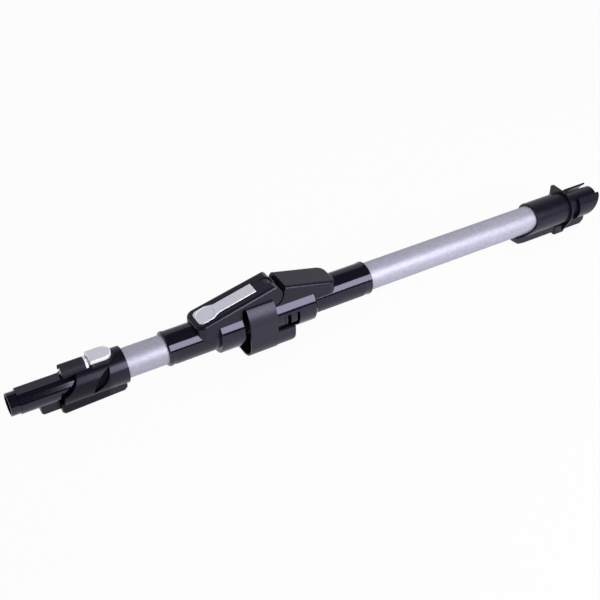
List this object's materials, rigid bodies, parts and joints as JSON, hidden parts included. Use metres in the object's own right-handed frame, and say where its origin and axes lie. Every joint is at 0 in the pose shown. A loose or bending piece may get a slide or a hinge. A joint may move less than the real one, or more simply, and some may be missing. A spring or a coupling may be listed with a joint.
{
  "type": "folding vacuum wand",
  "caption": "Folding vacuum wand: aluminium tubes joined by a fold hinge with a button, a release lever at the hand end and a keyed spigot at the floor end.",
  "frame": {"origin": "centre of the hand spigot's tip, on the tubes' axis", "axes": "+X along the wand from the hand end to the floor end, +Z to the side of the buttons, +Y to the side of the pin cap"},
  "size_m": [0.7912, 0.06, 0.0843],
  "materials": {
    "tube_aluminium": "satin anodised",
    "gloss_black": "gloss",
    "satin_black": "satin",
    "matte_black": "matte",
    "silver_plastic": "satin silver",
    "pin_steel": "brushed",
    "bush_plastic": "satin",
    "hose_rubber": "matte",
    "contact_metal": "plated"
  },
  "bodies": {
    "floor_half": {"lower_hinge_body": "gloss_black", "lower_hinge_cover": "satin_black", "hinge_shroud": "matte_black", "hinge_bush": "bush_plastic", "hose_cuff_floor": "matte_black", "bellows_hose": "hose_rubber", "lower_tube": "tube_aluminium", "floor_connector": "satin_black", "floor_contact_block": "satin_black", "floor_contacts": "contact_metal"},
    "hand_half": {"hand_spigot": "gloss_black", "hand_contact_block": "satin_black", "hand_contacts": "contact_metal", "hand_collar": "satin_black", "release_pin": "pin_steel", "release_spring": "pin_steel", "upper_tube": "tube_aluminium", "upper_hinge_body": "gloss_black", "upper_hinge_cover": "satin_black", "fold_button_pin": "pin_steel", "latch_spring": "pin_steel", "hinge_pin": "pin_steel", "hinge_pin_cap": "satin_black", "hose_cuff_hand": "matte_black"},
    "release_lever": {"release_lever": "silver_plastic"},
    "fold_button": {"fold_button": "silver_plastic"},
    "fold_latch": {"fold_latch": "pin_steel"}
  },
  "joints": [
    {"name": "fold", "type": "hinge", "parent": "floor_half", "child": "hand_half", "pos_m": [0.303, 0, 0.033], "axis": [0, 1, 0], "range_deg": [0, 120], "deforming": ["bellows_hose"]},
    {"name": "release_press", "type": "hinge", "parent": "hand_half", "child": "release_lever", "pos_m": [0.0932, 0, 0.0206], "axis": [0, 1, 0], "range_deg": [0, 4.5], "stiffness_Nm_per_rad": 2, "springref_deg": -2.86, "deforming": ["release_spring"]},
    {"name": "button_press", "type": "hinge", "parent": "hand_half", "child": "fold_button", "pos_m": [0.28476, 0, 0.03635], "axis": [0, -1, 0], "range_deg": [0, 1.7], "stiffness_Nm_per_rad": 3, "springref_deg": -1.72},
    {"name": "latch_slide", "type": "slide", "parent": "hand_half", "child": "fold_latch", "axis": [-0.974, 0, -0.2267], "range_m": [0, 0.0028], "deforming": ["latch_spring"]}
  ],
  "couplings": [
    {"joint": "latch_slide", "follows": "button_press", "m_per_rad": 0.09428}
  ]
}
